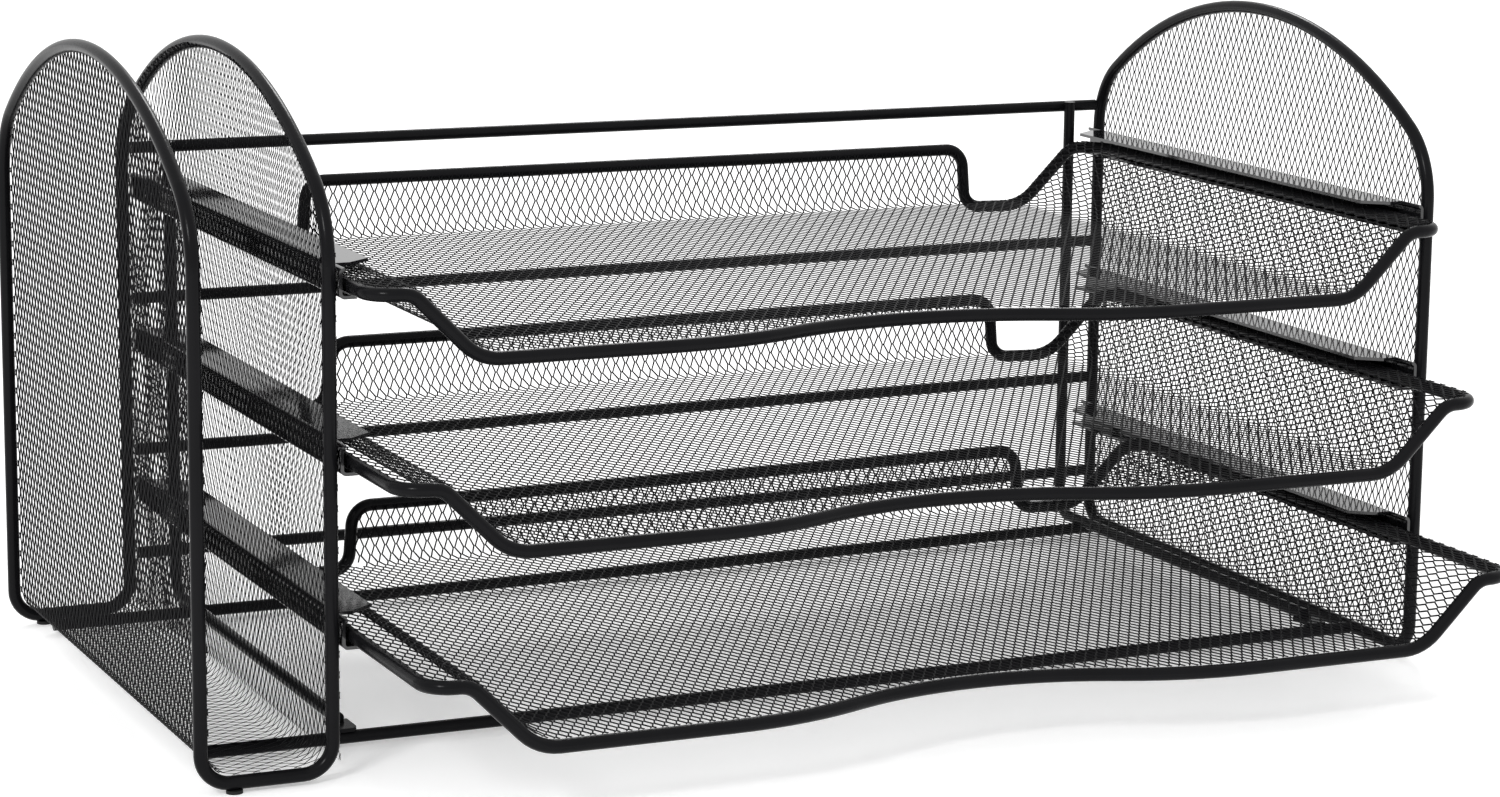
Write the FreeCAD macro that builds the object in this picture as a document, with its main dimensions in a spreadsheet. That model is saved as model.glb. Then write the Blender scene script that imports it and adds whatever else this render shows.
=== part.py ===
import FreeCAD, Part
import os
import math
import Sketcher
os.makedirs("parts", exist_ok=True)

# Desk organiser in bent steel wire and expanded-metal mesh: an upright file pocket on the
# left and three landscape letter trays that slide in sheet-steel channels.
# Frame: X to the right, Y to the back, Z up; origin on the table, under the middle of the
# whole with its trays standing out as drawn.

V = FreeCAD.Vector
doc = FreeCAD.newDocument("organiser")
sheet = doc.addObject("Spreadsheet::Sheet", "dimensions")

SIZES = [
    ("frame_wire", 4.2),          # loops and tray rims, diameter
    ("bar_wire", 4.0),            # straight bars and uprights, diameter
    ("mesh_gauge", 0.8),
    ("frame_width", 414.0),       # outer pocket leg to end leg
    ("frame_depth", 216.0),       # front legs to back legs
    ("pocket_width", 40.0),       # outer pocket leg to inner pocket leg
    ("arch_top", 206.0),          # crown of the arches above the table
    ("crown_radius", 168.0),
    ("shoulder_radius", 28.0),
    ("corner_radius", 9.0),       # bends at the bottom of the loops
    ("foot_height", 1.0),
    ("foot_width", 5.0),
    ("foot_inset", 10.0),
    ("top_bar_height", 160.6),
    ("upper_bar_height", 109.5),
    ("middle_bar_height", 57.6),
    ("lower_bar_height", 21.6),
    ("front_bar_setback", 33.0),
    ("back_bar_setback", 16.0),
    ("upright_inset", 15.0),
    ("upright_bend", 8.0),
    ("tab_width", 7.0),
    ("tab_length", 11.0),
    ("tab_gauge", 1.2),
    ("rail_length", 218.0),
    ("rail_height", 9.2),
    ("rail_gauge", 1.0),
    ("rail_top", 14.1),           # width of the upper flange
    ("rail_bottom", 5.4),         # width of the lower flange
    ("rail_corner", 6.5),         # width of the upper flange at its ends
    ("rail_step", 9.5),           # the upper flange starts this far inside the channel
    ("rail_cut", 6.0),            # length of the flange's slanted corners
    ("rail_bend", 1.8),
    ("first_tray", 22.6),         # floor rim of the lowest tray above the table
    ("tray_pitch", 51.75),
    ("tray_floor", 148.0),        # half width of the flat floor
    ("tray_half", 180.3),         # half width to the rim in the channels
    ("tray_depth", 223.0),
    ("side_rise", 20.3),
    ("half_fold", 0.41421),       # tangent of half the 45 degree fold of the sides
    ("back_rise", 21.3),
    ("back_half", 125.3),         # half width of the back wall at its top
    ("notch_half", 127.0),        # half width of the back wall at its foot
    ("wall_step", 4.0),           # the wall stands this far behind the rest of the back
    ("wall_corner", 7.0),
    ("notch_bend", 6.0),
    ("floor_bend", 16.0),         # folds between floor and sloping sides
    ("ledge_bend", 8.0),          # folds between sloping sides and ledges
    ("tray_corner", 8.5),
    ("recess_foot", 66.0),        # finger recess: half widths of its two ends, depth, bends
    ("recess_head", 22.0),
    ("recess_depth", 18.0),
    ("recess_radius", 110.0),
    ("channel_gap", 0.3),         # rim above the channel's lower flange
    ("home_gap", 0.3),            # tray to upright when pushed home
    ("pull_lower", 48.6),         # how far each tray stands out of its home
    ("pull_middle", 26.6),
    ("pull_upper", 2.6),
]
for row, (alias, number) in enumerate(SIZES, start=1):
    sheet.set("A%d" % row, alias)
    sheet.set("B%d" % row, str(number))
    sheet.setAlias("B%d" % row, alias)
doc.recompute()
NAMES = sorted((alias for alias, number in SIZES), key=len, reverse=True)


def size(alias):
    return float(getattr(sheet, alias))


def formula(text):
    """Size names in angle brackets become references to the sheet."""
    for alias in NAMES:
        text = text.replace("<%s>" % alias, "dimensions.%s" % alias)
    return text


def value(text):
    """The present value of a formula, for drawing a sketch where it will stay."""
    probe = sheet.evalExpression(formula(text))
    return float(getattr(probe, "Value", probe))


def bind(item, path, text):
    item.setExpression(path, formula(text))


# From the middle of the four legs to the middle of the whole.
TRAY_HOME = "(<frame_depth>/2 - <bar_wire>*3/2 - <home_gap> - <frame_wire>/2 - <tray_depth>)"
AHEAD = "(<pull_lower> - %s - <frame_depth>/2)/2" % TRAY_HOME
ASIDE = "<mesh_gauge>/2"


def place(item, x="0", y="0", z="0", turn=0.0, axis=V(0, 0, 1)):
    """Place an object, each offset tied to the sizes; X and Y are from amid the legs."""
    item.Placement = FreeCAD.Placement(V(0, 0, 0), FreeCAD.Rotation(axis, turn))
    bind(item, ".Placement.Base.x", "%s - %s" % (x, ASIDE))
    bind(item, ".Placement.Base.y", "%s + %s" % (y, AHEAD))
    bind(item, ".Placement.Base.z", z)


def new_body(label):
    body = doc.addObject("PartDesign::Body", label)
    body.Label = label
    return body


def new_sketch(body, role, name, lift=None):
    """A sketch on one of the body's own planes, raised along its normal if asked."""
    sketch = body.newObject("Sketcher::SketchObject", body.Name + "_" + name)
    plane = [o for o in body.Origin.OriginFeatures if o.Role == role][0]
    sketch.AttachmentSupport = (plane, [""])
    sketch.MapMode = "FlatFace"
    if lift:
        bind(sketch, ".AttachmentOffset.Base.z", lift)
    return sketch


def hold(sketch, kind, items, text):
    """Add a sketch dimension driven by the sizes."""
    row = sketch.addConstraint(Sketcher.Constraint(kind, *items, value(text)))
    bind(sketch, "Constraints[%d]" % row, text)


def polygon(sketch, corners):
    """A closed polygon whose every corner is a pair of formulas."""
    points = [V(value(u), value(v), 0) for u, v in corners]
    first = sketch.GeometryCount
    count = len(points)
    for i in range(count):
        sketch.addGeometry(Part.LineSegment(points[i], points[(i + 1) % count]), False)
    for i in range(count):
        after = first + (i + 1) % count
        sketch.addConstraint(Sketcher.Constraint("Coincident", first + i, 2, after, 1))
    for i, (u, v) in enumerate(corners):
        hold(sketch, "DistanceX", (-1, 1, first + i, 1), u)
        hold(sketch, "DistanceY", (-1, 1, first + i, 1), v)


def curves(sketch, shapes, closed=True):
    """Draw curves that follow one another, joined end to end, arcs with driven radii."""
    first = sketch.GeometryCount
    for shape, radius in shapes:
        sketch.addGeometry(shape, False)
    last = len(shapes) if closed else len(shapes) - 1
    for i in range(last):
        one, two = first + i, first + (i + 1) % len(shapes)
        ends = [(a, b) for a in (1, 2) for b in (1, 2)]
        gaps = [(sketch.getPoint(one, a) - sketch.getPoint(two, b)).Length for a, b in ends]
        a, b = ends[gaps.index(min(gaps))]
        sketch.addConstraint(Sketcher.Constraint("Coincident", one, a, two, b))
    for i, (shape, radius) in enumerate(shapes):
        if radius:
            hold(sketch, "Radius", (first + i,), radius)


def pad(body, sketch, length, both=False, reverse=False):
    feature = body.newObject("PartDesign::Pad", sketch.Name + "_pad")
    feature.Profile = sketch
    bind(feature, "Length", length)
    feature.Midplane = both
    feature.Reversed = reverse
    doc.recompute()
    return feature


def cut(body, sketch, both=True, reverse=False):
    """Cut through everything: both ways, or one way only."""
    feature = body.newObject("PartDesign::Pocket", sketch.Name + "_cut")
    feature.Profile = sketch
    feature.Type = 1
    feature.Midplane = both
    feature.Reversed = reverse
    doc.recompute()
    return feature


def bend(body, radius, wanted):
    """Round the straight edges whose middle and direction satisfy a test."""
    base = body.Tip
    names = []
    for i, edge in enumerate(base.Shape.Edges, start=1):
        straight = edge.Curve.TypeId == "Part::GeomLine"
        if straight and wanted(edge.CenterOfMass, edge.tangentAt(edge.FirstParameter)):
            names.append("Edge%d" % i)
    feature = body.newObject("PartDesign::Fillet", "bend")
    feature.Base = (base, names)
    bind(feature, "Radius", radius)
    doc.recompute()
    return feature


def near(a, b):
    return abs(a - b) < 0.02


# ---- wire runs -------------------------------------------------------------------------

def arch_curves(foot):
    """Leg, shoulder, crown, shoulder, leg in a plane; u is along the depth from the middle."""
    half = size("frame_depth") / 2
    radius, turn = size("crown_radius"), size("shoulder_radius")
    low = size("arch_top") - radius
    across = half - turn
    level = low + math.sqrt((radius - turn) ** 2 - across ** 2)
    lean = math.atan2(level - low, across)
    join = V(radius * math.cos(lean), low + radius * math.sin(lean), 0)
    tip = V(across + turn * math.cos(lean / 2), level + turn * math.sin(lean / 2), 0)

    def left(p):
        return V(-p.x, p.y, 0)

    return [
        (Part.LineSegment(V(-half, foot, 0), V(-half, level, 0)), None),
        (Part.Arc(V(-half, level, 0), left(tip), left(join)), "<shoulder_radius>"),
        (Part.Arc(left(join), V(0, size("arch_top"), 0), join), "<crown_radius>"),
        (Part.Arc(join, tip, V(half, level, 0)), "<shoulder_radius>"),
        (Part.LineSegment(V(half, level, 0), V(half, foot, 0)), None),
    ]


def corner_arc(centre, start, end, radius):
    middle = ((start + end) * 0.5 - centre).normalize() * radius + centre
    return Part.Arc(start, middle, end)


def bent_loop(label, edges):
    """One closed loop of round wire; the run starts in the middle of a straight."""
    lengths = [e.Length if e.Curve.TypeId == "Part::GeomLine" else 0 for e in edges]
    at = lengths.index(max(lengths))
    begin, end = [v.Point for v in edges[at].Vertexes]
    if min(v.Point.distanceToPoint(end) for v in edges[(at + 1) % len(edges)].Vertexes) > 0.01:
        begin, end = end, begin
    middle = (begin + end) * 0.5
    first = Part.LineSegment(middle, end).toShape()
    last = Part.LineSegment(begin, middle).toShape()
    spine = Part.Wire([first] + edges[at + 1:] + edges[:at] + [last])
    ring = Part.Wire([Part.Circle(middle, end - begin, size("frame_wire") / 2).toShape()])
    loop = doc.addObject("Part::Feature", label)
    loop.Label = label
    loop.Shape = spine.makePipeShell([ring], True, True)
    return loop


def rounded_run(corners):
    """Closed run of straights joined by bends: corners are (point, bend radius)."""
    count = len(corners)
    arcs, leave, reach = [], [], []
    for i, (here, radius) in enumerate(corners):
        into = (corners[i - 1][0] - here).normalize()
        out = (corners[(i + 1) % count][0] - here).normalize()
        half = into.getAngle(out) / 2
        back = radius / math.tan(half)
        centre = here + (into + out).normalize() * (radius / math.sin(half))
        reach.append(here + into * back)
        leave.append(here + out * back)
        arcs.append(corner_arc(centre, reach[i], leave[i], radius))
    edges = []
    for i in range(count):
        edges.append(arcs[i].toShape())
        if leave[i].distanceToPoint(reach[(i + 1) % count]) > 0.01:
            edges.append(Part.LineSegment(leave[i], reach[(i + 1) % count]).toShape())
    return edges


# ---- upright pocket --------------------------------------------------------------------

def pocket_loop():
    """The closed loop round the pocket: two arches joined under the front and the back."""
    radius = size("corner_radius")
    foot = size("foot_height") + size("frame_wire") / 2
    half = size("frame_depth") / 2
    width = size("pocket_width")

    def arch(x):
        upright = FreeCAD.Matrix(0, 0, 1, x, 1, 0, 0, 0, 0, 1, 0, 0, 0, 0, 0, 1)
        return [c.toShape().transformShape(upright, True) for c, r in arch_curves(foot + radius)]

    def under(y, start, end):
        low = foot + radius
        near_side = start + math.copysign(radius, end - start)
        far_side = end - math.copysign(radius, end - start)
        first = corner_arc(V(near_side, y, low), V(start, y, low), V(near_side, y, foot), radius)
        run = Part.LineSegment(V(near_side, y, foot), V(far_side, y, foot))
        second = corner_arc(V(far_side, y, low), V(far_side, y, foot), V(end, y, low), radius)
        return [first.toShape(), run.toShape(), second.toShape()]

    edges = arch(0) + under(half, 0, width) + arch(width)[::-1] + under(-half, width, 0)
    loop = bent_loop("pocket_loop", edges)
    place(loop, "-<frame_width>/2")


def rounded_face(sketch, foot, corner=0.0):
    """The outline of an arched panel: arch, legs and a straight foot, bottom corners bent."""
    outline = arch_curves(foot + corner)
    half = size("frame_depth") / 2
    if corner:
        right = corner_arc(V(half - corner, foot + corner, 0), V(half, foot + corner, 0),
                           V(half - corner, foot, 0), corner)
        left = corner_arc(V(corner - half, foot + corner, 0), V(corner - half, foot, 0),
                          V(-half, foot + corner, 0), corner)
        outline.append((right, "<corner_radius>"))
        outline.append((Part.LineSegment(V(half - corner, foot, 0), V(0, foot, 0)), None))
        outline.append((Part.LineSegment(V(0, foot, 0), V(corner - half, foot, 0)), None))
        outline.append((left, "<corner_radius>"))
    else:
        outline.append((Part.LineSegment(V(half, foot, 0), V(-half, foot, 0)), None))
    curves(sketch, outline)


def pocket_mesh():
    """Mesh folded into a trough inside the pocket's loop, trimmed to the arches."""
    body = new_body("pocket_mesh")
    section = new_sketch(body, "XZ_Plane", "section")
    out, low = "<frame_wire>/2", "<foot_height> + <frame_wire>"
    thick = "<mesh_gauge>"
    polygon(section, [
        (out, "<arch_top>"),
        (out, low),
        ("<pocket_width> - " + out, low),
        ("<pocket_width> - " + out, "<arch_top>"),
        ("<pocket_width> - %s - %s" % (out, thick), "<arch_top>"),
        ("<pocket_width> - %s - %s" % (out, thick), low + " + " + thick),
        (out + " + " + thick, low + " + " + thick),
        (out + " + " + thick, "<arch_top>"),
    ])
    pad(body, section, "<frame_depth>", both=True)
    floor = value(low)

    def folds(level):
        return lambda p, t: near(abs(t.y), 1) and near(p.z, level)

    bend(body, "<corner_radius> - <frame_wire>/2 - <mesh_gauge>", folds(floor + size("mesh_gauge")))
    bend(body, "<corner_radius> - <frame_wire>/2", folds(floor))
    waste = new_sketch(body, "YZ_Plane", "arch")
    half, top = size("frame_depth") / 2, size("arch_top")
    level = 60.0                  # on the legs, well below the shoulders
    clear = 4.0                   # the waste reaches this far past the sheet
    side, above = half + clear, top + clear
    around = [
        V(half, level, 0),
        V(side, level, 0),
        V(side, above, 0),
        V(-side, above, 0),
        V(-side, level, 0),
        V(-half, level, 0),
    ]
    straights = [(Part.LineSegment(a, b), None) for a, b in zip(around, around[1:])]
    curves(waste, arch_curves(level) + straights)
    cut(body, waste)
    place(body, "-<frame_width>/2")


def flat_panel(label, x, foot, corner):
    """A flat arched sheet of mesh standing in a plane of constant X."""
    body = new_body(label)
    outline = new_sketch(body, "YZ_Plane", "outline")
    rounded_face(outline, value(foot), value(corner))
    pad(body, outline, "<mesh_gauge>")
    place(body, x)


# ---- right-hand end --------------------------------------------------------------------

def end_loop():
    """The closed arched loop at the right, a wire swept along its outline."""
    body = new_body("end_loop")
    path = new_sketch(body, "YZ_Plane", "path")
    foot = "<foot_height> + <frame_wire>/2"
    rounded_face(path, value(foot), size("corner_radius"))
    ring = new_sketch(body, "XZ_Plane", "ring")
    ring.addGeometry(Part.Circle(V(0, value(foot), 0), V(0, 0, 1), size("frame_wire") / 2), False)
    hold(ring, "DistanceX", (-1, 1, 0, 3), "0")
    hold(ring, "DistanceY", (-1, 1, 0, 3), foot)
    hold(ring, "Diameter", (0,), "<frame_wire>")
    doc.recompute()
    sweep(body, ring, path)
    place(body, "<frame_width>/2")


def sweep(body, ring, path):
    pipe = body.newObject("PartDesign::AdditivePipe", ring.Name + "_sweep")
    pipe.Profile = ring
    pipe.Spine = (path, ["Edge%d" % (i + 1) for i in range(len(path.Shape.Edges))])
    doc.recompute()
    return pipe


# ---- bars, uprights and feet -----------------------------------------------------------

def bar(label, start, end, y, z):
    """A straight round bar along X between two formulas."""
    rod = doc.addObject("Part::Cylinder", label)
    rod.Label = label
    bind(rod, "Radius", "<bar_wire>/2")
    bind(rod, "Height", "(%s) - (%s)" % (end, start))
    place(rod, start, y, z, 90.0, V(0, 1, 0))


def all_bars():
    inner = "<pocket_width> + <frame_wire>/2 + <mesh_gauge> - <frame_width>/2"
    outer = "<frame_width>/2 - <frame_wire>/2"
    back = "<frame_depth>/2"
    bar("back_bar_top", inner, outer, back, "<top_bar_height>")
    bar("back_bar_upper", inner, outer, back, "<upper_bar_height>")
    bar("back_bar_middle", inner, outer, back, "<middle_bar_height>")
    bar("back_bar_lower", inner, outer, back, "<lower_bar_height>")
    under = "<corner_radius> - <frame_width>/2"
    floor = "<foot_height> + <frame_wire> - <bar_wire>/2"
    bar("base_bar_front", under, outer, "<front_bar_setback> - <frame_depth>/2", floor)
    bar("base_bar_back", under, outer, "<frame_depth>/2 - <back_bar_setback>", floor)


def upright(label, x):
    """Wire that runs forward over the base bars from a flattened tab, then turns up the back."""
    body = new_body(label)
    run = "<frame_depth> - <front_bar_setback> - <bar_wire> - <tab_width>"
    rise = "<top_bar_height> - <foot_height> - <frame_wire> + <bar_wire>/2"
    path = new_sketch(body, "YZ_Plane", "path")
    far, low, turn = value(run), size("bar_wire") / 2, size("upright_bend")
    top = value(rise)
    curves(path, [
        (Part.LineSegment(V(0, low, 0), V(far - turn, low, 0)), None),
        (corner_arc(V(far - turn, low + turn, 0), V(far - turn, low, 0), V(far, low + turn, 0), turn),
         "<upright_bend>"),
        (Part.LineSegment(V(far, low + turn, 0), V(far, top, 0)), None),
    ], closed=False)
    hold(path, "DistanceX", (-1, 1, 2, 1), run)
    hold(path, "DistanceY", (-1, 1, 2, 2), rise)
    ring = new_sketch(body, "XZ_Plane", "ring")
    ring.addGeometry(Part.Circle(V(0, low, 0), V(0, 0, 1), low), False)
    hold(ring, "DistanceX", (-1, 1, 0, 3), "0")
    hold(ring, "DistanceY", (-1, 1, 0, 3), "<bar_wire>/2")
    hold(ring, "Diameter", (0,), "<bar_wire>")
    doc.recompute()
    sweep(body, ring, path)
    tab = new_sketch(body, "XY_Plane", "tab")
    side, front = "<tab_width>/2", "<bar_wire>/2 - <tab_length>"
    polygon(tab, [
        ("-" + side, "<bar_wire>/2"),
        ("-" + side, front),
        (side, front),
        (side, "<bar_wire>/2"),
    ])
    pad(body, tab, "<tab_gauge>")
    flat = value(front)
    bend(body, "<tab_width>/3", lambda p, t: near(abs(t.z), 1) and near(p.y, flat))
    place(body, x, "<frame_depth>/2 - <bar_wire> - (%s)" % run, "<foot_height> + <frame_wire>")


def foot(label, x, y):
    pad_under = doc.addObject("Part::Cylinder", label)
    pad_under.Label = label
    bind(pad_under, "Radius", "<foot_width>/2")
    bind(pad_under, "Height", "<foot_height>")
    place(pad_under, x, y, "0")


def all_feet():
    left = "<foot_inset> - <frame_width>/2"
    right = "<frame_width>/2"
    depth = "<frame_depth>/2"
    foot("foot_pocket_front", left, "-" + depth)
    foot("foot_pocket_back", left, depth)
    foot("foot_end_front", right, "<foot_inset> - " + depth)
    foot("foot_end_back", right, depth + " - <foot_inset>")


# ---- channels --------------------------------------------------------------------------

def rail(label, right, level):
    """Sheet-steel channel; the wide upper flange is cut back and slanted at both ends."""
    body = new_body(label)
    section = new_sketch(body, "XZ_Plane", "section")
    half, g = "<rail_height>/2", "<rail_gauge>"
    polygon(section, [
        ("0", "-" + half),
        ("<rail_bottom>", "-" + half),
        ("<rail_bottom>", g + " - " + half),
        (g, g + " - " + half),
        (g, half + " - " + g),
        ("<rail_top>", half + " - " + g),
        ("<rail_top>", half),
        ("0", half),
    ])
    pad(body, section, "<rail_length>", both=True)

    def folds(x):
        return lambda p, t: near(abs(t.y), 1) and near(p.x, x)

    bend(body, "<rail_bend> - <rail_gauge>", folds(size("rail_gauge")))
    bend(body, "<rail_bend>", folds(0.0))
    ends = new_sketch(body, "XY_Plane", "ends")
    past = "<rail_length>/2 + 1"
    step = "<rail_length>/2 - <rail_step>"
    slant = "<rail_length>/2 - <rail_step> - <rail_cut>"
    for side in ("", "-"):
        polygon(ends, [
            ("<rail_bend>", "%s(%s)" % (side, past)),
            ("<rail_top> + 1", "%s(%s)" % (side, past)),
            ("<rail_top> + 1", "%s(%s)" % (side, slant)),
            ("<rail_top>", "%s(%s)" % (side, slant)),
            ("<rail_corner>", "%s(%s)" % (side, step)),
            ("<rail_bend>", "%s(%s)" % (side, step)),
        ])
    cut(body, ends, both=False, reverse=True)
    web = "<pocket_width> + <frame_wire>/2 + <mesh_gauge> - <frame_width>/2"
    if right:
        web = "<frame_width>/2 - <frame_wire>/2"
    place(body, web, "0", "%s + %s" % (level, RAIL_OVER_FLOOR), 180.0 if right else 0.0)


# Middle of a channel above a tray's floor rim: the side rim lies just over the lower flange.
RAIL_OVER_FLOOR = "<side_rise> - <frame_wire>/2 - <channel_gap> - <rail_gauge> + <rail_height>/2"


# ---- trays -----------------------------------------------------------------------------

def tray_place(item, level, pull):
    """Trays sit midway between the channels' webs; home is just clear of the uprights."""
    middle = "(<pocket_width> + <mesh_gauge>)/2"
    place(item, middle, TRAY_HOME + " - " + pull, level)


def tray_rim(label, level, pull):
    """The rim: one wire bent round finger recess, sloping sides, channel runs and back wall."""
    floor, side = size("tray_floor"), size("tray_half")
    rise, depth = size("side_rise"), size("tray_depth")
    low_fold, high_fold, corner = size("floor_bend"), size("ledge_bend"), size("tray_corner")
    wall = depth + size("wall_step")
    right = [
        (V(size("recess_head"), size("recess_depth"), 0), size("recess_radius")),
        (V(size("recess_foot"), 0, 0), size("recess_radius")),
        (V(floor, 0, 0), low_fold),
        (V(floor + rise, 0, rise), high_fold),
        (V(side, 0, rise), corner),
        (V(side, depth, rise), corner),
        (V(floor + rise, depth, rise), high_fold),
        (V(floor, depth, 0), low_fold),
        (V(size("notch_half"), wall, 0), size("notch_bend")),
        (V(size("back_half"), wall, size("back_rise")), size("wall_corner")),
    ]
    left = [(V(-p.x, p.y, p.z), radius) for p, radius in reversed(right)]
    rim = bent_loop(label, rounded_run(right + left))
    tray_place(rim, level, pull)


def tray_mesh(label, level, pull):
    """One sheet of mesh folded into floor, sloping sides, side ledges and back wall."""
    body = new_body(label)
    section = new_sketch(body, "XZ_Plane", "section", SPARE)
    under, over = "<frame_wire>/2", "(<frame_wire>/2 + <mesh_gauge>)"
    fold_low = "(<tray_floor> - <half_fold>*%s)"
    fold_high = "(<tray_floor> + <side_rise> - <half_fold>*%s)"
    half = []
    for off in (under, over):
        half.append([
            (fold_low % off, off),
            (fold_high % off, "<side_rise> + " + off),
            ("<tray_half>", "<side_rise> + " + off),
        ])
    right = half[0] + half[1][::-1]
    left = [("-" + u, v) for u, v in half[1]] + [("-" + u, v) for u, v in half[0][::-1]]
    polygon(section, right + left)
    pad(body, section, "<tray_depth> + <wall_step> + " + SPARE, reverse=True)

    def side_folds(u, v):
        return lambda p, t: near(abs(t.y), 1) and near(abs(p.x), value(u)) and near(p.z, value(v))

    bend(body, "<floor_bend> - " + over, side_folds(fold_low % over, over))
    bend(body, "<floor_bend> - " + under, side_folds(fold_low % under, under))
    bend(body, "<ledge_bend> + " + under, side_folds(fold_high % under, "<side_rise> + " + under))
    bend(body, "<ledge_bend> + " + over, side_folds(fold_high % over, "<side_rise> + " + over))
    front_edge(body)
    back_edge(body)
    bend(body, "<tray_corner>", lambda p, t: near(abs(t.z), 1) and near(abs(p.x), size("tray_half")))
    back_wall(body, under)
    tray_place(body, level, pull)


# The sheet is drawn this much too long at the front, then trimmed to the rim.
SPARE = "5"


def front_edge(body):
    """Trim the front along the rim's line: straight, with the finger recess in its middle."""
    trim = new_sketch(body, "XY_Plane", "trim")
    deep, head, toe = size("recess_depth"), size("recess_head"), size("recess_foot")
    around, end, ahead = size("recess_radius"), size("tray_half") + 1, -value(SPARE) - 1
    run = rounded_open([
        (V(-end, 0, 0), 0),
        (V(-toe, 0, 0), around),
        (V(-head, deep, 0), around),
        (V(head, deep, 0), around),
        (V(toe, 0, 0), around),
        (V(end, 0, 0), 0),
    ])
    shapes = [(s, "<recess_radius>" if isinstance(s, Part.Arc) else None) for s in run]
    shapes += [
        (Part.LineSegment(V(end, 0, 0), V(end, ahead, 0)), None),
        (Part.LineSegment(V(end, ahead, 0), V(-end, ahead, 0)), None),
        (Part.LineSegment(V(-end, ahead, 0), V(-end, 0, 0)), None),
    ]
    curves(trim, shapes)
    cut(body, trim)


def back_edge(body):
    """Trim the back along the rim's line, with a slot where the wall is to turn up."""
    trim = new_sketch(body, "XY_Plane", "slot")
    end, past = "(<tray_half> + 1)", "<tray_depth> + <wall_step> + 1"
    right = [
        ("<notch_half>", WALL_START),
        ("<notch_half>", "<tray_depth> + <wall_step>"),
        ("<tray_floor>", "<tray_depth>"),
        (end, "<tray_depth>"),
        (end, past),
    ]
    left = [("-" + u, v) for u, v in reversed(right)]
    polygon(trim, right + left)
    cut(body, trim)


# Where the floor starts to turn up into the back wall.
WALL_START = "(<tray_depth> + <wall_step> - <frame_wire>/2 - <notch_bend>)"


def back_wall(body, under):
    """Turn the back of the floor up into a wall with rounded shoulders."""
    face = "(<tray_depth> + <wall_step> - <frame_wire>/2)"
    section = new_sketch(body, "YZ_Plane", "wall")
    y, low, radius = value(WALL_START), value(under), size("notch_bend")
    inner, top = radius - size("mesh_gauge"), size("back_rise")
    centre = V(y, low + radius, 0)
    outside = corner_arc(centre, V(y, low, 0), V(y + radius, low + radius, 0), radius)
    inside = corner_arc(centre, V(y + inner, low + radius, 0), V(y, low + radius - inner, 0), inner)
    curves(section, [
        (outside, "<notch_bend>"),
        (Part.LineSegment(V(y + radius, low + radius, 0), V(y + radius, top, 0)), None),
        (Part.LineSegment(V(y + radius, top, 0), V(y + inner, top, 0)), None),
        (Part.LineSegment(V(y + inner, top, 0), V(y + inner, low + radius, 0)), None),
        (inside, "<notch_bend> - <mesh_gauge>"),
        (Part.LineSegment(V(y, low + radius - inner, 0), V(y, low, 0)), None),
    ])
    hold(section, "DistanceX", (-1, 1, 1, 2), face)
    hold(section, "DistanceY", (-1, 1, 1, 2), "<back_rise>")
    pad(body, section, "2*<notch_half>", both=True)
    ends = new_sketch(body, "XZ_Plane", "ends", "-" + WALL_START)
    for side in ("", "-"):
        polygon(ends, [
            (side + "<notch_half>", "0"),
            ("%s(<notch_half> + 1)" % side, "0"),
            ("%s(<notch_half> + 1)" % side, "<back_rise> + 1"),
            (side + "<back_half>", "<back_rise> + 1"),
            (side + "<back_half>", "<back_rise>"),
        ])
    cut(body, ends, both=False)
    shoulder = size("back_half")
    bend(body, "<wall_corner>",
         lambda p, t: near(abs(t.y), 1) and near(abs(p.x), shoulder) and near(p.z, top))


def rounded_open(corners):
    """Open run of straights and bends as curves for a sketch."""
    pieces = []
    leave = corners[0][0]
    for i in range(1, len(corners) - 1):
        here, radius = corners[i]
        into = (corners[i - 1][0] - here).normalize()
        out = (corners[i + 1][0] - here).normalize()
        half = into.getAngle(out) / 2
        back = radius / math.tan(half)
        centre = here + (into + out).normalize() * (radius / math.sin(half))
        start, end = here + into * back, here + out * back
        if leave.distanceToPoint(start) > 0.01:
            pieces.append(Part.LineSegment(leave, start))
        pieces.append(corner_arc(centre, start, end, radius))
        leave = end
    pieces.append(Part.LineSegment(leave, corners[-1][0]))
    return pieces


# ---- the whole organiser ---------------------------------------------------------------

pocket_loop()
pocket_mesh()
flat_panel("inner_side_mesh", "<pocket_width> + <frame_wire>/2 - <frame_width>/2",
           "<foot_height> + <frame_wire> + <mesh_gauge>", "0")
end_loop()
flat_panel("end_mesh", "<frame_width>/2 + <frame_wire>/2", "<foot_height> + <frame_wire>/2",
           "<corner_radius>")
all_bars()
upright("upright_left", "<pocket_width> + <upright_inset> - <frame_width>/2")
upright("upright_right", "<frame_width>/2 - <upright_inset>")
all_feet()
LEVELS = [
    ("lower", "<first_tray>"),
    ("middle", "<first_tray> + <tray_pitch>"),
    ("upper", "<first_tray> + 2*<tray_pitch>"),
]
for name, level in LEVELS:
    rail("rail_left_" + name, False, level)
    rail("rail_right_" + name, True, level)
    tray_rim("tray_rim_" + name, level, "<pull_%s>" % name)
    tray_mesh("tray_mesh_" + name, level, "<pull_%s>" % name)
doc.recompute()

for item in doc.Objects:
    bad = [word for word in item.State if word in ("Invalid", "Error")]
    if bad:
        raise RuntimeError("%s is %s" % (item.Name, bad))

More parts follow.
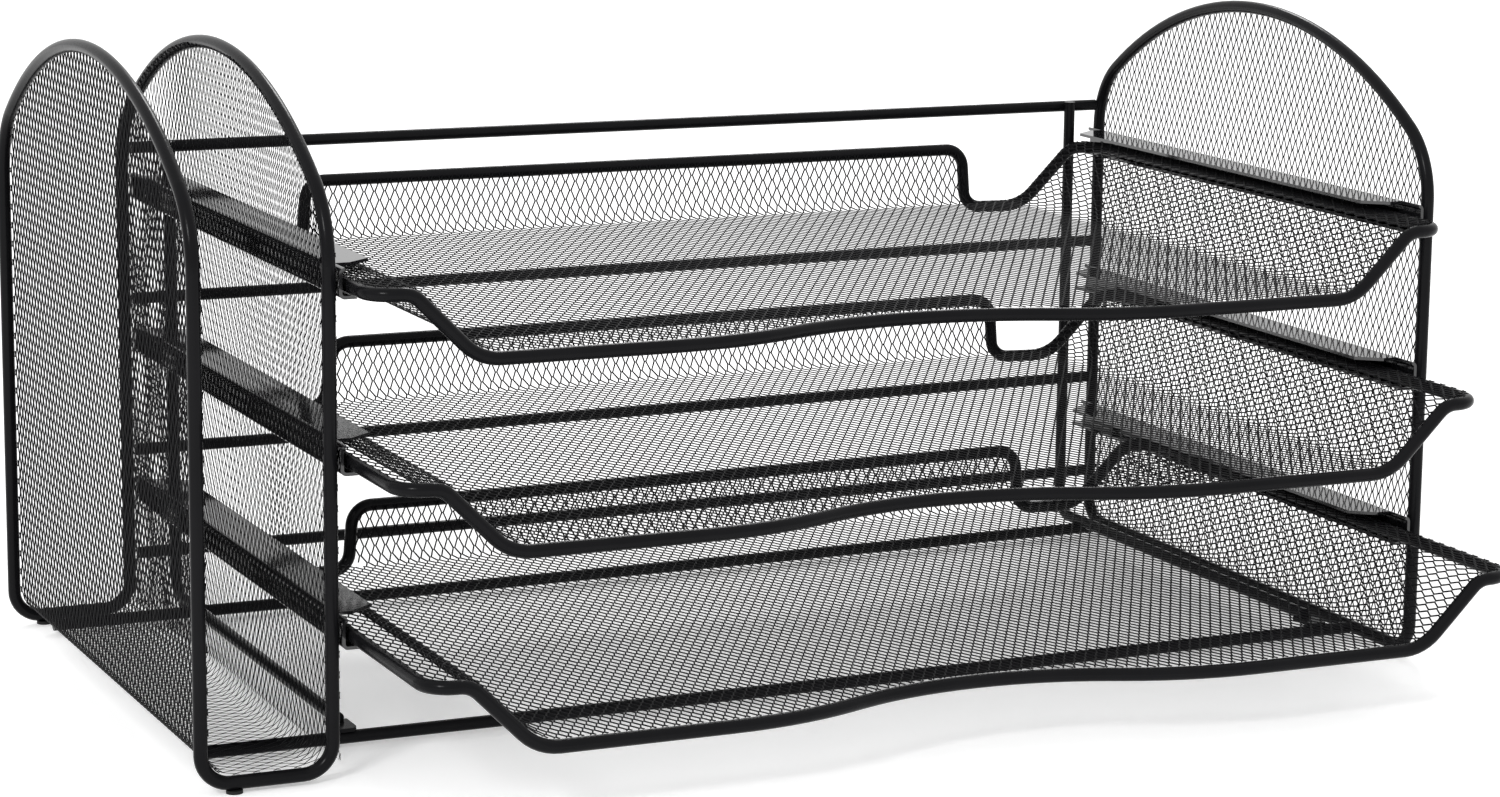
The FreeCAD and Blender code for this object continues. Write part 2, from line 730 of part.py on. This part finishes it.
made = [o for o in doc.Objects if o.TypeId in ("PartDesign::Body", "Part::Cylinder", "Part::Feature")]
for item in made:
    shape = item.Shape
    if shape.isNull() or not shape.isValid() or shape.Volume <= 0:
        raise RuntimeError("%s has no sound shape" % item.Label)
    shape.exportStep("parts/%s.step" % item.Label)
    box = shape.BoundBox
    print("%-20s %8.1f mm3  x %.1f..%.1f  y %.1f..%.1f  z %.1f..%.1f" % (
        item.Label, shape.Volume, box.XMin, box.XMax, box.YMin, box.YMax, box.ZMin, box.ZMax))
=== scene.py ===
import math
import bpy
import numpy as np
from mathutils import Matrix, Vector


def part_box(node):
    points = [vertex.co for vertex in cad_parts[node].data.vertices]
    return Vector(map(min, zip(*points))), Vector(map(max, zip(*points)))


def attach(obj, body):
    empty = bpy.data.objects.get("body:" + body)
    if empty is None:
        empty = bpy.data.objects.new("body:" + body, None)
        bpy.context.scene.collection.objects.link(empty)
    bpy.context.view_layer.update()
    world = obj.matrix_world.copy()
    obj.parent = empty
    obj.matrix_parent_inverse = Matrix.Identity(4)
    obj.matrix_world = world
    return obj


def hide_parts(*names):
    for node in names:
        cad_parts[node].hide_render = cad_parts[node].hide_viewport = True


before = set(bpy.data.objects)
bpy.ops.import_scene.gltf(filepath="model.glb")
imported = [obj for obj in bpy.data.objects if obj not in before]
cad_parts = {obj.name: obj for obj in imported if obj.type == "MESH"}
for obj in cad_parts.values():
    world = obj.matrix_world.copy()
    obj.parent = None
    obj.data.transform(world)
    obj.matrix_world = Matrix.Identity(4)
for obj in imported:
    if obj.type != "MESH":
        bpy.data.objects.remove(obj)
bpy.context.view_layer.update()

# A desk organiser in black powder-coated wire and expanded mesh: an arched file pocket and
# three sliding letter trays. Everything is in metres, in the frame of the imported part.

# ---- sizes read from the frame -----------------------------------------------------------

END_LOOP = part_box("end_loop")
POCKET_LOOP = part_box("pocket_loop")
END_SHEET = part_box("end_mesh")
SIDE_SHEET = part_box("inner_side_mesh")
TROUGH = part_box("pocket_mesh")
WIRE = END_LOOP[1].x - END_LOOP[0].x
MIDDLE = (TROUGH[0].y + TROUGH[1].y) / 2
HALF_DEPTH = (TROUGH[1].y - TROUGH[0].y) / 2
CROWN = END_LOOP[1].z - WIRE / 2

# ---- sizes of the forms the sheets follow --------------------------------------------------

CROWN_RADIUS = 0.168
SHOULDER_RADIUS = 0.028
LOOP_CORNER = 0.009
FLOOR_BEND = 0.016
LEDGE_BEND = 0.008
TRAY_CORNER = 0.0085
FLOOR_HALF = 0.148
SIDE_RISE = 0.0203
NOTCH_HALF = 0.127
NOTCH_BEND = 0.006
WALL_HALF = 0.1253
WALL_RISE = 0.0213
WALL_STEP = 0.004       # the back wall stands this far behind the rest of the back
WALL_CORNER = 0.007
RECESS_DEPTH = 0.018
RECESS_HEAD = 0.022
RECESS_FOOT = 0.066
RECESS_RADIUS = 0.110

# ---- the expanded metal --------------------------------------------------------------------

SHORT_WAY = 0.0037      # a diamond across
LONG_WAY = 0.0062       # a diamond along
STRAND_WIDTH = 0.00054
STRAND_THICK = 0.00017
STRAND_TILT = math.radians(15.0)
END_TILT = math.radians(5.0)     # the right-hand sheet's own tilt
SHEET_LIFT = 0.00025    # middle of the strands above the wire they lie on
FIRST_STATION = 0.6     # the first row of nodes lies this many half diamonds before the edge
BISECTIONS = 18         # a strand is cut to its outline within 1 / 2 ** 18 of its length


# ---- shapes of folded sheet ----------------------------------------------------------------

def bent_line(corners, radii, steps=10):
    """A run of straights whose corners are rounded by arcs: each arc turns by the corner's
    angle about a centre one radius off both straights. Returns length along it, the points
    and the heading there, sampled closely enough to be read by interpolation."""
    corners = np.asarray(corners, float)
    points, headings = [corners[0]], []
    for before, here, after, radius in zip(corners, corners[1:], corners[2:], radii):
        into = (here - before) / np.linalg.norm(here - before)
        out = (after - here) / np.linalg.norm(after - here)
        turn = math.atan2(into[0] * out[1] - into[1] * out[0], into @ out)
        back = radius * math.tan(abs(turn) / 2)
        start = math.atan2(into[1], into[0])
        side = math.copysign(radius, turn)
        centre = here - into * back + side * np.array([-into[1], into[0]])
        angle = start + turn * np.linspace(0, 1, steps)
        arc = centre + side * np.stack([np.sin(angle), -np.cos(angle)], 1)
        points.extend(arc)
        headings.extend([start, *angle[1:]] if len(headings) else [start, start, *angle[1:]])
    points.append(corners[-1])
    last = corners[-1] - corners[-2]
    headings.append(math.atan2(last[1], last[0]))
    points = np.array(points)
    run = np.concatenate([[0], np.cumsum(np.linalg.norm(np.diff(points, axis=0), axis=1))])
    return run, points, np.array(headings)


def along(line, s):
    """Point and heading at each length s along a bent line."""
    run, points, headings = line
    first, second = np.interp(s, run, points[:, 0]), np.interp(s, run, points[:, 1])
    return first, second, np.interp(s, run, headings)


def arch_height(y):
    """Height of the arched outline over depth y from its middle: the crown's circle, then
    the smaller circle of the shoulder that touches both the crown and the upright leg."""
    low = CROWN - CROWN_RADIUS
    across = HALF_DEPTH - SHOULDER_RADIUS
    level = low + math.sqrt((CROWN_RADIUS - SHOULDER_RADIUS) ** 2 - across ** 2)
    lean = math.atan2(level - low, across)
    y = np.abs(y)
    crown = low + np.sqrt(np.maximum(CROWN_RADIUS ** 2 - y ** 2, 0))
    shoulder = level + np.sqrt(np.maximum(SHOULDER_RADIUS ** 2 - (y - across) ** 2, 0))
    height = np.where(y < CROWN_RADIUS * math.cos(lean), crown, shoulder)
    return np.where(y > HALF_DEPTH, 0.0, height)


# ---- strands -------------------------------------------------------------------------------

def strands(name, across, length, place, regions, tilt):
    """Expanded metal over a flat pattern of the given width and length. The sheet is rows of
    zigzag ribbons: ribbon i at station j stands in column i or i + 1, whichever makes an even
    sum with j, so neighbours meet at every second station. Each region of the pattern, a
    function that is positive inside it, gets its own bars."""
    columns = int(across / SHORT_WAY * 2) + 2
    stations = int(length / LONG_WAY * 2) + 2
    i, j = np.meshgrid(np.arange(columns), np.arange(stations), indexing="ij")
    odd = (i + j) % 2
    u = (i + odd - columns / 2) * SHORT_WAY / 2 + (0.5 - odd) * STRAND_WIDTH
    v = (j - FIRST_STATION) * LONG_WAY / 2
    start = np.stack([u[:, :-1], v[:, :-1]], -1).reshape(-1, 2)
    end = np.stack([u[:, 1:], v[:, 1:]], -1).reshape(-1, 2)
    points, faces = np.empty((0, 3)), np.empty((0, 4), int)
    for inside in regions:
        more, quads = bars(start, end, inside, place, tilt)
        faces = np.concatenate([faces, quads + len(points)])
        points = np.concatenate([points, more])
    return mesh_piece(name, points, faces)


def bars(start, end, inside, place, tilt):
    """Points and faces of the strands in one region: each straight of a ribbon is a
    four-sided bar, its section turned by the tilt about the long way. A bar that crosses the
    outline, where inside() changes sign, is shortened to it by bisection and gets a cap."""
    in_start, in_end = inside(*start.T) > 0, inside(*end.T) > 0
    keep = in_start | in_end
    start, end, in_start, in_end = start[keep], end[keep], in_start[keep], in_end[keep]
    held = np.where(in_start, 0.0, 1.0)
    out = np.where(in_start & in_end, held, 1.0 - held)
    for _ in range(BISECTIONS):
        middle = (held + out) / 2
        good = inside(*(start + (end - start) * middle[:, None]).T) > 0
        held, out = np.where(good, middle, held), np.where(good, out, middle)
    begin = np.where(in_start, 0.0, held)
    finish = np.where(in_end, 1.0, held)
    rows = []
    for share in (begin, finish):
        flat = start + (end - start) * share[:, None]
        centre, side, up = place(*flat.T)
        wide = (side * math.cos(tilt) + up * math.sin(tilt)) * STRAND_WIDTH / 2
        thick = (up * math.cos(tilt) - side * math.sin(tilt)) * STRAND_THICK / 2
        rows.append(np.stack([centre + wide + thick, centre - wide + thick,
                              centre - wide - thick, centre + wide - thick], 1))
    corners = np.concatenate(rows, 1)
    base = np.arange(len(corners))[:, None] * 8
    quads = [[k, (k + 1) % 4, (k + 1) % 4 + 4, k + 4] for k in range(4)]
    faces = [base + np.array(q) for q in quads]
    faces.append(base[~in_start] + np.array([3, 2, 1, 0]))
    faces.append(base[~in_end] + np.array([4, 5, 6, 7]))
    run = corners[:, 4:].mean(1) - corners[:, :4].mean(1)
    turned = np.cross(corners[:, 0] - corners[:, 1], corners[:, 0] - corners[:, 3])
    order = 1 if np.median((turned * run).sum(1)) > 0 else -1
    return corners.reshape(-1, 3), np.concatenate(faces)[:, ::order]


def mesh_piece(name, points, quads):
    """A mesh object from whole arrays of points and four-cornered faces."""
    mesh = bpy.data.meshes.new(name)
    mesh.vertices.add(len(points))
    mesh.vertices.foreach_set("co", points.astype(np.float32).ravel())
    mesh.loops.add(quads.size)
    mesh.loops.foreach_set("vertex_index", quads.astype(np.int32).ravel())
    mesh.polygons.add(len(quads))
    mesh.polygons.foreach_set("loop_start", np.arange(0, quads.size, 4, dtype=np.int32))
    mesh.update(calc_edges=True)
    piece = bpy.data.objects.new(name, mesh)
    bpy.context.scene.collection.objects.link(piece)
    return piece


def unit(first, second, third):
    """Vectors, one per row, from their three components."""
    return np.stack(np.broadcast_arrays(first, second, third), -1).astype(float)


def trough_mesh(material):
    """The pocket's mesh: a U section carried along the depth, the sheet's long way up it."""
    lift = WIRE / 2 + SHEET_LIFT
    left, right = POCKET_LOOP[0].x + WIRE / 2 + lift, POCKET_LOOP[1].x - WIRE / 2 - lift
    low = TROUGH[0].z + SHEET_LIFT
    bend = LOOP_CORNER - lift
    section = bent_line([(left, CROWN), (left, low), (right, low), (right, CROWN)], (bend, bend))

    def place(u, v):
        x, z, heading = along(section, v)
        return (unit(x, MIDDLE + u, z), unit(0, 1, 0) + 0 * unit(x, x, x),
                unit(-np.sin(heading), 0, np.cos(heading)))

    def inside(u, v):
        x, z, heading = along(section, v)
        whole = np.minimum(v, section[0][-1] - v)
        return np.minimum(np.minimum(arch_height(u) - z, HALF_DEPTH - np.abs(u)), whole)

    piece = strands("trough_strands", 2 * HALF_DEPTH, section[0][-1], place, [inside], -STRAND_TILT)
    finish_piece(piece, material, "frame", "mesh", "pocket_mesh")


def side_mesh(name, node, x, foot, corner, tilt, material):
    """A flat arched sheet in the plane x, its long way upright."""
    def place(u, v):
        return (unit(x, MIDDLE + u, foot + v), unit(0, 1, 0) + 0 * unit(u, u, u),
                unit(1, 0, 0) + 0 * unit(u, u, u))

    def inside(u, v):
        edge = np.minimum(arch_height(u) - foot - v, np.minimum(v, HALF_DEPTH - np.abs(u)))
        if corner:
            past = np.hypot(np.maximum(np.abs(u) - HALF_DEPTH + corner, 0),
                            np.maximum(corner - v, 0))
            edge = np.minimum(edge, corner - past)
        return edge

    piece = strands(name, 2 * HALF_DEPTH, CROWN - foot, place, [inside], tilt)
    finish_piece(piece, material, "frame", "mesh", node)


def recess(x):
    """How far back the front rim stands at x: two circles that touch, one hollow about each
    foot of the recess and one rounding its head, with the straight between them."""
    slope = math.atan2(RECESS_DEPTH, RECESS_FOOT - RECESS_HEAD)
    reach = RECESS_RADIUS * math.tan(slope / 2)
    x = np.abs(x)
    head = RECESS_DEPTH - RECESS_RADIUS + np.sqrt(
        RECESS_RADIUS ** 2 - np.clip(x - RECESS_HEAD + reach, 0, RECESS_RADIUS) ** 2)
    foot = RECESS_RADIUS - np.sqrt(
        RECESS_RADIUS ** 2 - np.clip(RECESS_FOOT + reach - x, 0, RECESS_RADIUS) ** 2)
    straight = (RECESS_FOOT - x) * math.tan(slope)
    return np.where(x < RECESS_HEAD + reach * math.cos(slope), head,
                    np.where(x < RECESS_FOOT - reach * math.cos(slope), straight, foot))


def tray_mesh(level, material):
    """A tray's mesh: floor, sloping sides and ledges are one section carried from front to
    back; between the notches the back of the floor turns up into the wall."""
    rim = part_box("tray_rim_" + level)
    centre = (rim[0].x + rim[1].x) / 2
    front = rim[0].y + WIRE / 2
    floor = rim[0].z + WIRE / 2
    half = (rim[1].x - rim[0].x - WIRE) / 2
    wall_depth = rim[1].y - WIRE / 2 - front
    depth = wall_depth - WALL_STEP
    lift = WIRE / 2 + SHEET_LIFT
    shift = lift * math.tan(math.pi / 8)
    ledge = FLOOR_HALF + SIDE_RISE - shift
    section = bent_line([(0, lift), (FLOOR_HALF - shift, lift), (ledge, SIDE_RISE + lift),
                         (half, SIDE_RISE + lift)], (FLOOR_BEND - lift, LEDGE_BEND + lift))
    face = wall_depth - lift
    wall = bent_line([(0, 0), (face, 0), (face, WALL_RISE)], (NOTCH_BEND - SHEET_LIFT,))
    slot = face - NOTCH_BEND + SHEET_LIFT
    lean = (NOTCH_HALF - WALL_HALF) / WALL_RISE

    def place(u, v):
        x, z, heading = along(section, np.abs(u))
        y, rise, climb = along(wall, v)
        mid = np.abs(u) < NOTCH_HALF
        y, rise, climb = np.where(mid, y, v), np.where(mid, rise, 0), np.where(mid, climb, 0)
        sign = np.sign(u)
        side = unit(np.cos(heading), 0, sign * np.sin(heading))
        up = unit(-sign * np.sin(heading), -np.sin(climb), np.cos(heading) * np.cos(climb))
        return unit(centre + sign * x, front + y, floor + z + rise), side, up

    def flat(u, v):
        x = along(section, np.abs(u))[0]
        back = depth + WALL_STEP * np.clip((FLOOR_HALF - x) / (FLOOR_HALF - NOTCH_HALF), 0, 1)
        past = np.hypot(np.maximum(x - half + TRAY_CORNER, 0),
                        np.maximum(np.maximum(TRAY_CORNER - v, v - depth + TRAY_CORNER), 0))
        edge = np.minimum(np.minimum(TRAY_CORNER - past, back - v), v - recess(x))
        return np.minimum(edge, section[0][-1] - np.abs(u))

    def before_slot(u, v):
        return np.minimum(slot - v, flat(u, np.minimum(v, slot)))

    def beside_slot(u, v):
        return np.minimum(np.minimum(v - slot, np.abs(u) - NOTCH_HALF), flat(u, v))

    def on_wall(u, v):
        height = along(wall, v)[1] + lift
        ends = NOTCH_HALF - lean * height - np.abs(u)
        past = np.hypot(np.maximum(np.abs(u) - WALL_HALF + WALL_CORNER, 0),
                        np.maximum(height - WALL_RISE + WALL_CORNER, 0))
        edge = np.minimum(np.minimum(ends, WALL_CORNER - past), wall[0][-1] - v)
        return np.minimum(edge, v - slot)

    piece = strands("tray_strands_" + level, 2 * section[0][-1], wall[0][-1], place,
                    [before_slot, beside_slot, on_wall], STRAND_TILT)
    finish_piece(piece, material, "tray_" + level, "mesh", "tray_mesh_" + level)


def finish_piece(piece, material, body, slot, *nodes):
    """Give a piece its coat and its body, and let it stand for the plain sheets."""
    piece.data.materials.append(material)
    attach(piece, body)
    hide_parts(*nodes)


# ---- materials -----------------------------------------------------------------------------

def coat_group():
    """Powder coat: the fine orange peel of baked powder, and soft cloudiness in its gloss."""
    group = bpy.data.node_groups.new("powder_coat", "ShaderNodeTree")
    face = group.interface
    for name, value in (("Grain", 900.0), ("Depth", 0.25), ("Roughness", 0.4), ("Spread", 0.12)):
        face.new_socket(name, in_out="INPUT", socket_type="NodeSocketFloat").default_value = value
    dark = face.new_socket("Dark", in_out="INPUT", socket_type="NodeSocketColor")
    dark.default_value = (0.010, 0.010, 0.011, 1)
    pale = face.new_socket("Pale", in_out="INPUT", socket_type="NodeSocketColor")
    pale.default_value = (0.022, 0.022, 0.024, 1)
    face.new_socket("Color", in_out="OUTPUT", socket_type="NodeSocketColor")
    face.new_socket("Roughness", in_out="OUTPUT", socket_type="NodeSocketFloat")
    face.new_socket("Normal", in_out="OUTPUT", socket_type="NodeSocketVector")
    node, link = group.nodes.new, group.links.new
    given, made = node("NodeGroupInput"), node("NodeGroupOutput")
    where = node("ShaderNodeTexCoord")
    peel = node("ShaderNodeTexNoise")
    peel.inputs["Detail"].default_value = 2.0
    link(where.outputs["Object"], peel.inputs["Vector"])
    link(given.outputs["Grain"], peel.inputs["Scale"])
    bump = node("ShaderNodeBump")
    bump.inputs["Distance"].default_value = 0.0002
    link(given.outputs["Depth"], bump.inputs["Strength"])
    link(peel.outputs["Fac"], bump.inputs["Height"])
    cloud = node("ShaderNodeTexNoise")
    cloud.inputs["Scale"].default_value = 45.0
    cloud.inputs["Detail"].default_value = 4.0
    link(where.outputs["Object"], cloud.inputs["Vector"])
    centred = node("ShaderNodeMath")
    centred.operation = "SUBTRACT"
    centred.inputs[1].default_value = 0.5
    link(cloud.outputs["Fac"], centred.inputs[0])
    spread = node("ShaderNodeMath")
    spread.operation = "MULTIPLY_ADD"
    link(centred.outputs[0], spread.inputs[0])
    link(given.outputs["Spread"], spread.inputs[1])
    link(given.outputs["Roughness"], spread.inputs[2])
    shade = node("ShaderNodeMix")
    shade.data_type = "RGBA"
    link(cloud.outputs["Fac"], shade.inputs[0])
    link(given.outputs["Dark"], shade.inputs[6])
    link(given.outputs["Pale"], shade.inputs[7])
    link(shade.outputs[2], made.inputs["Color"])
    link(spread.outputs[0], made.inputs["Roughness"])
    link(bump.outputs["Normal"], made.inputs["Normal"])
    return group


def coated(name, gloss, roughness, spread, depth, dark, pale, group):
    """A coated steel or moulded pad: the coat group feeding a plain shader."""
    material = bpy.data.materials.new(name)
    material.use_nodes = True
    tree = material.node_tree
    shader = tree.nodes["Principled BSDF"]
    coat = tree.nodes.new("ShaderNodeGroup")
    coat.node_tree = group
    coat.inputs["Roughness"].default_value = roughness
    coat.inputs["Spread"].default_value = spread
    coat.inputs["Depth"].default_value = depth
    coat.inputs["Dark"].default_value = (*dark, 1)
    coat.inputs["Pale"].default_value = (*pale, 1)
    tree.links.new(coat.outputs["Color"], shader.inputs["Base Color"])
    tree.links.new(coat.outputs["Roughness"], shader.inputs["Roughness"])
    tree.links.new(coat.outputs["Normal"], shader.inputs["Normal"])
    shader.inputs["Specular IOR Level"].default_value = gloss
    return material


def plain(name, colour, roughness, glow):
    """The studio floor's paper: faintly mottled and matt. Its own faint glow softens shadows."""
    material = bpy.data.materials.new(name)
    material.use_nodes = True
    tree = material.node_tree
    shader = tree.nodes["Principled BSDF"]
    mottle = tree.nodes.new("ShaderNodeTexNoise")
    mottle.inputs["Scale"].default_value = MOTTLE_SCALE
    tone = tree.nodes.new("ShaderNodeMix")
    tone.data_type = "RGBA"
    tone.inputs[6].default_value = (*[c * MOTTLE_DARKEST for c in colour], 1)
    tone.inputs[7].default_value = (*colour, 1)
    where = tree.nodes.new("ShaderNodeTexCoord")
    tree.links.new(where.outputs["Object"], mottle.inputs["Vector"])
    tree.links.new(mottle.outputs["Fac"], tone.inputs[0])
    tree.links.new(tone.outputs[2], shader.inputs["Base Color"])
    shader.inputs["Roughness"].default_value = roughness
    shader.inputs["Emission Color"].default_value = (1, 1, 1, 1)
    shader.inputs["Emission Strength"].default_value = glow
    return material


# ---- the studio ----------------------------------------------------------------------------

FLOOR_REACH = 6.0
FLOOR_COLOUR = (0.94, 0.94, 0.94)
MOTTLE_SCALE = 6.0
MOTTLE_DARKEST = 0.985
LIT_POINT = (0, 0, 0.1)
EYE = (-0.5217, -1.1399, 0.3311)
EYE_TURN, EYE_DIP, EYE_LEAN = math.radians(24.61), math.radians(10.94), math.radians(0.61)
LENS_MM = 94.8


def studio():
    """Floor, even white surroundings and two large soft lights."""
    bpy.context.scene.view_settings.view_transform = "Standard"
    world = bpy.data.worlds.new("studio")
    bpy.context.scene.world = world
    world.use_nodes = True
    surroundings = world.node_tree.nodes["Background"]
    surroundings.inputs["Color"].default_value = (1, 1, 1, 1)
    surroundings.inputs["Strength"].default_value = 1.0
    corners = FLOOR_REACH * np.array([(-1, -1, 0), (1, -1, 0), (1, 1, 0), (-1, 1, 0)])
    floor = mesh_piece("studio_floor", corners, np.array([[0, 1, 2, 3]]))
    floor.data.materials.append(plain("studio_paper", FLOOR_COLOUR, roughness=0.6, glow=0.3))
    soft_light("light_left", place=(-1.5, -1.3, 1.3), size=0.4, power=18.0)
    soft_light("light_back", place=(0.9, 1.6, 1.6), size=0.5, power=10.0)


def soft_light(name, place, size, power):
    """A square lamp turned to the middle of the organiser."""
    lamp = bpy.data.lights.new(name, "AREA")
    lamp.shape = "SQUARE"
    lamp.size = size
    lamp.energy = power
    light = bpy.data.objects.new(name, lamp)
    direction = Vector(LIT_POINT) - Vector(place)
    light.rotation_euler = direction.to_track_quat("-Z", "Y").to_euler()
    light.location = place
    bpy.context.scene.collection.objects.link(light)


def camera():
    """Long lens, a little to the left and above, turned to the right."""
    lens = bpy.data.cameras.new("camera")
    lens.sensor_width = 36.0
    lens.lens = LENS_MM
    lens.clip_start = 0.05
    lens.clip_end = 60.0
    eye = bpy.data.objects.new("camera", lens)
    ahead = Vector((math.sin(EYE_TURN) * math.cos(EYE_DIP),
                    math.cos(EYE_TURN) * math.cos(EYE_DIP), -math.sin(EYE_DIP)))
    level = Vector((math.cos(EYE_TURN), -math.sin(EYE_TURN), 0))
    upright = level.cross(ahead)
    right = level * math.cos(EYE_LEAN) + upright * math.sin(EYE_LEAN)
    up = upright * math.cos(EYE_LEAN) - level * math.sin(EYE_LEAN)
    place = Matrix((right, up, -ahead)).transposed().to_4x4()
    place.translation = Vector(EYE)
    eye.matrix_world = place
    bpy.context.scene.collection.objects.link(eye)
    bpy.context.scene.camera = eye


# ---- the whole -----------------------------------------------------------------------------

coat = coat_group()
wire_coat = coated("wire_black", gloss=0.08, roughness=0.22, spread=0.10, depth=0.20,
                   dark=(0.003, 0.003, 0.0035), pale=(0.007, 0.007, 0.008), group=coat)
mesh_coat = coated("mesh_black", gloss=0.03, roughness=0.45, spread=0.10, depth=0.10,
                   dark=(0.004, 0.004, 0.0045), pale=(0.009, 0.009, 0.010), group=coat)
sheet_coat = coated("channel_black", gloss=0.80, roughness=0.08, spread=0.08, depth=0.04,
                    dark=(0.004, 0.004, 0.0045), pale=(0.009, 0.009, 0.010), group=coat)
foot_plastic = coated("foot_black", gloss=0.20, roughness=0.60, spread=0.10, depth=0.30,
                      dark=(0.006, 0.006, 0.006), pale=(0.012, 0.012, 0.012), group=coat)

for name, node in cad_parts.items():
    node.data.materials.clear()
    if name.startswith("rail"):
        node.data.materials.append(sheet_coat)
    elif name.startswith("foot"):
        node.data.materials.append(foot_plastic)
    else:
        node.data.materials.append(wire_coat)

trough_mesh(mesh_coat)
side_mesh("side_strands", "inner_side_mesh", SIDE_SHEET[0].x + SHEET_LIFT, SIDE_SHEET[0].z, 0,
          STRAND_TILT, mesh_coat)
side_mesh("end_strands", "end_mesh", END_SHEET[0].x + SHEET_LIFT, END_SHEET[0].z, LOOP_CORNER,
          END_TILT, mesh_coat)
for level in ("lower", "middle", "upper"):
    tray_mesh(level, mesh_coat)

studio()
camera()
